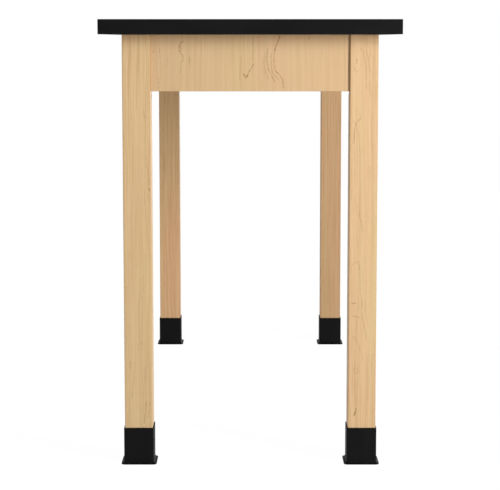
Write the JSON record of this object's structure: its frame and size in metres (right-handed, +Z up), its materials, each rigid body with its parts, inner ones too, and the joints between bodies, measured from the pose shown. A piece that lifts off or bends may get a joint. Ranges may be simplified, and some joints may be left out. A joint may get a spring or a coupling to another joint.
{
  "type": "science lab table",
  "caption": "Rectangular science lab table: black laminate worktop on a bolted maple apron frame, with square legs that end in black boots over levelling glides.",
  "frame": {"origin": "on the floor, under the middle of the table", "axes": "+Z up; +Y along the table's length, away from the end that the picture shows; +X across it, to the picture's right"},
  "size_m": [0.6096, 1.524, 0.9144],
  "materials": {
    "maple": "clear satin lacquer on light maple",
    "chipboard": "bare chipboard, hidden by the laminate and the edge bands",
    "black_laminate": "fine-textured black chemical-resistant laminate",
    "black_edge_band": "black edge band with eased arrises",
    "black_backing": "thin black backing sheet",
    "black_vinyl": "black moulded vinyl, satin",
    "grey_nylon": "grey moulded nylon",
    "zinc_plated_steel": "bright zinc plating"
  },
  "bodies": {
    "frame": {"top_laminate": "black_laminate", "top_core": "chipboard", "backing_sheet": "black_backing", "edge_band_near_end": "black_edge_band", "edge_band_far_end": "black_edge_band", "edge_band_left_side": "black_edge_band", "edge_band_right_side": "black_edge_band", "apron_near_end": "maple", "apron_far_end": "maple", "apron_left_side": "maple", "apron_right_side": "maple", "leg_near_left": "maple", "leg_near_right": "maple", "leg_far_right": "maple", "leg_far_left": "maple", "corner_bracket_near_left": "zinc_plated_steel", "leg_insert_near_left": "zinc_plated_steel", "hanger_bolt_lower_near_left": "zinc_plated_steel", "flange_nut_lower_near_left": "zinc_plated_steel", "hanger_bolt_upper_near_left": "zinc_plated_steel", "flange_nut_upper_near_left": "zinc_plated_steel", "corner_bracket_near_right": "zinc_plated_steel", "leg_insert_near_right": "zinc_plated_steel", "hanger_bolt_lower_near_right": "zinc_plated_steel", "flange_nut_lower_near_right": "zinc_plated_steel", "hanger_bolt_upper_near_right": "zinc_plated_steel", "flange_nut_upper_near_right": "zinc_plated_steel", "corner_bracket_far_right": "zinc_plated_steel", "leg_insert_far_right": "zinc_plated_steel", "hanger_bolt_lower_far_right": "zinc_plated_steel", "flange_nut_lower_far_right": "zinc_plated_steel", "hanger_bolt_upper_far_right": "zinc_plated_steel", "flange_nut_upper_far_right": "zinc_plated_steel", "corner_bracket_far_left": "zinc_plated_steel", "leg_insert_far_left": "zinc_plated_steel", "hanger_bolt_lower_far_left": "zinc_plated_steel", "flange_nut_lower_far_left": "zinc_plated_steel", "hanger_bolt_upper_far_left": "zinc_plated_steel", "flange_nut_upper_far_left": "zinc_plated_steel", "top_clip_near_end": "zinc_plated_steel", "top_clip_far_end": "zinc_plated_steel", "top_clip_left_side_1": "zinc_plated_steel", "top_clip_left_side_2": "zinc_plated_steel", "top_clip_left_side_3": "zinc_plated_steel", "top_clip_right_side_1": "zinc_plated_steel", "top_clip_right_side_2": "zinc_plated_steel", "top_clip_right_side_3": "zinc_plated_steel"},
    "boot_near_left": {"leg_boot_near_left": "black_vinyl"},
    "pad_near_left": {"glide_pad_near_left": "grey_nylon"},
    "stem_near_left": {"glide_stem_near_left": "zinc_plated_steel"},
    "boot_near_right": {"leg_boot_near_right": "black_vinyl"},
    "pad_near_right": {"glide_pad_near_right": "grey_nylon"},
    "stem_near_right": {"glide_stem_near_right": "zinc_plated_steel"},
    "boot_far_right": {"leg_boot_far_right": "black_vinyl"},
    "pad_far_right": {"glide_pad_far_right": "grey_nylon"},
    "stem_far_right": {"glide_stem_far_right": "zinc_plated_steel"},
    "boot_far_left": {"leg_boot_far_left": "black_vinyl"},
    "pad_far_left": {"glide_pad_far_left": "grey_nylon"},
    "stem_far_left": {"glide_stem_far_left": "zinc_plated_steel"}
  },
  "joints": [
    {"name": "boot_lift_near_left", "type": "slide", "parent": "frame", "child": "boot_near_left", "axis": [0, 0, 1], "range_m": [0, 0.06]},
    {"name": "glide_travel_near_left", "type": "slide", "parent": "frame", "child": "pad_near_left", "axis": [0, 0, -1], "range_m": [0, 0.012]},
    {"name": "glide_screw_near_left", "type": "hinge", "parent": "pad_near_left", "child": "stem_near_left", "pos_m": [-0.23042, -0.70168, 0], "axis": [0, 0, -1], "range_deg": [0, 2724]},
    {"name": "boot_lift_near_right", "type": "slide", "parent": "frame", "child": "boot_near_right", "axis": [0, 0, 1], "range_m": [0, 0.06]},
    {"name": "glide_travel_near_right", "type": "slide", "parent": "frame", "child": "pad_near_right", "axis": [0, 0, -1], "range_m": [0, 0.012]},
    {"name": "glide_screw_near_right", "type": "hinge", "parent": "pad_near_right", "child": "stem_near_right", "pos_m": [0.23042, -0.70168, 0], "axis": [0, 0, -1], "range_deg": [0, 2724]},
    {"name": "boot_lift_far_right", "type": "slide", "parent": "frame", "child": "boot_far_right", "axis": [0, 0, 1], "range_m": [0, 0.06]},
    {"name": "glide_travel_far_right", "type": "slide", "parent": "frame", "child": "pad_far_right", "axis": [0, 0, -1], "range_m": [0, 0.012]},
    {"name": "glide_screw_far_right", "type": "hinge", "parent": "pad_far_right", "child": "stem_far_right", "pos_m": [0.23042, 0.70168, 0], "axis": [0, 0, -1], "range_deg": [0, 2724]},
    {"name": "boot_lift_far_left", "type": "slide", "parent": "frame", "child": "boot_far_left", "axis": [0, 0, 1], "range_m": [0, 0.06]},
    {"name": "glide_travel_far_left", "type": "slide", "parent": "frame", "child": "pad_far_left", "axis": [0, 0, -1], "range_m": [0, 0.012]},
    {"name": "glide_screw_far_left", "type": "hinge", "parent": "pad_far_left", "child": "stem_far_left", "pos_m": [-0.23042, 0.70168, 0], "axis": [0, 0, -1], "range_deg": [0, 2724]}
  ],
  "couplings": [
    {"joint": "glide_screw_near_left", "follows": "glide_travel_near_left", "rad_per_m": 3957.9},
    {"joint": "glide_screw_near_right", "follows": "glide_travel_near_right", "rad_per_m": 3957.9},
    {"joint": "glide_screw_far_right", "follows": "glide_travel_far_right", "rad_per_m": 3957.9},
    {"joint": "glide_screw_far_left", "follows": "glide_travel_far_left", "rad_per_m": 3957.9}
  ]
}
